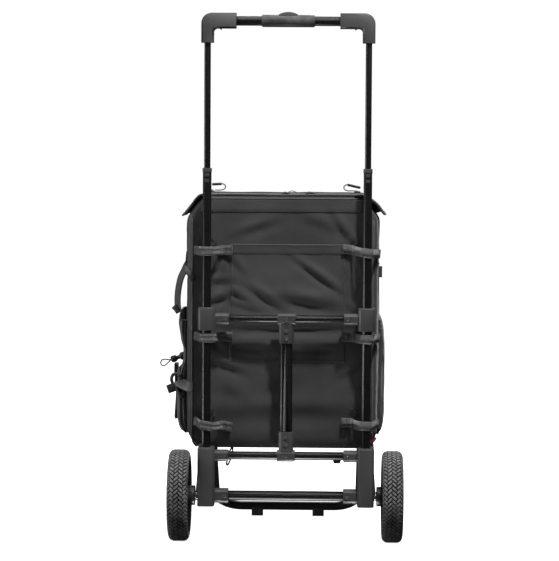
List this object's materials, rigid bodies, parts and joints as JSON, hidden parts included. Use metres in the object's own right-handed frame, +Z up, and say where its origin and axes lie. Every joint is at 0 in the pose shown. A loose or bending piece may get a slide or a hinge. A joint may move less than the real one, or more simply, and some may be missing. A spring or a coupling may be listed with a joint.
{
  "type": "equipment bag trolley",
  "caption": "Two-wheel trolley with a telescopic handle and a fold-up toe loop, carrying a soft lidded equipment bag strapped to its posts.",
  "frame": {"origin": "on the floor, under the middle of the cart's outer box without its free cords", "axes": "+Z up, +X to the cart's right seen from behind the handle, +Y forward from the posts towards the bag"},
  "size_m": [0.4909, 0.41, 1.0382],
  "materials": {
    "tube": "satin black anodised",
    "plastic": "fine-textured dark grey nylon",
    "handle_plastic": "satin mid-grey nylon",
    "steel": "zinc-plated steel",
    "toe_tube": "gloss black powder coat",
    "tyre": "moulded foam rubber with a block tread",
    "rubber": "dull",
    "fabric": "black coated woven polyester",
    "webbing": "charcoal polyester webbing",
    "cord": "black braided cord"
  },
  "bodies": {
    "frame": {"post_left": "tube", "post_right": "tube", "post_collars": "plastic", "mid_bracket_left": "plastic", "mid_bracket_right": "plastic", "lower_bracket_left": "plastic", "lower_bracket_right": "plastic", "mid_crossbar": "tube", "deck_crossbar": "tube", "axle_crossbar": "tube", "crossbar_sleeves": "plastic", "upper_tee": "plastic", "lower_tee": "plastic", "centre_strut": "tube", "frame_screws": "steel", "axle": "steel", "axle_fasteners": "steel", "toe_pivot_pins": "steel", "bag_back": "fabric", "bag_front": "fabric", "bag_left": "fabric", "bag_right": "fabric", "bag_base": "fabric", "back_pocket": "fabric", "front_pocket": "fabric", "side_pocket_left": "fabric", "side_pocket_right": "fabric", "post_straps": "webbing", "grab_handle": "webbing", "side_buckle": "plastic", "cord_lock": "plastic", "drawcord": "cord"},
    "wheel_left": {"rim_left": "plastic", "tyre_left": "tyre", "wheel_bush_left": "plastic"},
    "wheel_right": {"rim_right": "plastic", "tyre_right": "tyre", "wheel_bush_right": "plastic"},
    "toe": {"toe_loop": "toe_tube", "toe_feet": "rubber"},
    "handle": {"inner_tube_left": "tube", "inner_tube_right": "tube", "handle_corner_left": "handle_plastic", "handle_corner_right": "handle_plastic", "grip_bar": "tube", "grip_sleeve": "rubber", "lock_plugs": "plastic"},
    "release": {"release_button": "handle_plastic", "push_rods": "steel", "button_spring": "steel"},
    "lock_left": {"lock_pin_left": "steel"},
    "lock_right": {"lock_pin_right": "steel"},
    "lid": {"bag_lid": "fabric", "zip_track": "fabric"},
    "zip_left": {"zip_slider_left": "steel", "pull_cord_left": "cord", "pull_tip_left": "plastic"},
    "zip_right": {"zip_slider_right": "steel", "pull_cord_right": "cord", "pull_tip_right": "plastic"}
  },
  "joints": [
    {"name": "handle_slide", "type": "slide", "parent": "frame", "child": "handle", "axis": [0, 0, 1], "range_m": [-0.236, 0]},
    {"name": "button_press", "type": "slide", "parent": "handle", "child": "release", "axis": [0, 0, 1], "range_m": [-0.004, 0], "stiffness_N_per_m": 600, "springref_m": 0.012, "deforming": ["button_spring"]},
    {"name": "lock_left_slide", "type": "slide", "parent": "handle", "child": "lock_left", "axis": [1, 0, 0], "range_m": [-0.0016, 0]},
    {"name": "lock_right_slide", "type": "slide", "parent": "handle", "child": "lock_right", "axis": [1, 0, 0], "range_m": [0, 0.0016]},
    {"name": "wheel_left_spin", "type": "hinge", "parent": "frame", "child": "wheel_left", "pos_m": [0, -0.115, 0.09], "axis": [1, 0, 0], "continuous": true},
    {"name": "wheel_right_spin", "type": "hinge", "parent": "frame", "child": "wheel_right", "pos_m": [0, -0.115, 0.09], "axis": [1, 0, 0], "continuous": true},
    {"name": "toe_fold", "type": "hinge", "parent": "frame", "child": "toe", "pos_m": [0, 0.025, 0.159], "axis": [1, 0, 0], "range_deg": [0, 45]},
    {"name": "lid_hinge", "type": "hinge", "parent": "frame", "child": "lid", "pos_m": [0, -0.08, 0.677], "axis": [1, 0, 0], "range_deg": [0, 70]},
    {"name": "zip_left_slide", "type": "slide", "parent": "lid", "child": "zip_left", "axis": [1, 0, 0], "range_m": [0, 0.09]},
    {"name": "zip_right_slide", "type": "slide", "parent": "lid", "child": "zip_right", "axis": [1, 0, 0], "range_m": [-0.09, 0]}
  ],
  "couplings": [
    {"joint": "lock_left_slide", "follows": "button_press", "ratio": 0.4},
    {"joint": "lock_right_slide", "follows": "button_press", "ratio": -0.4}
  ]
}
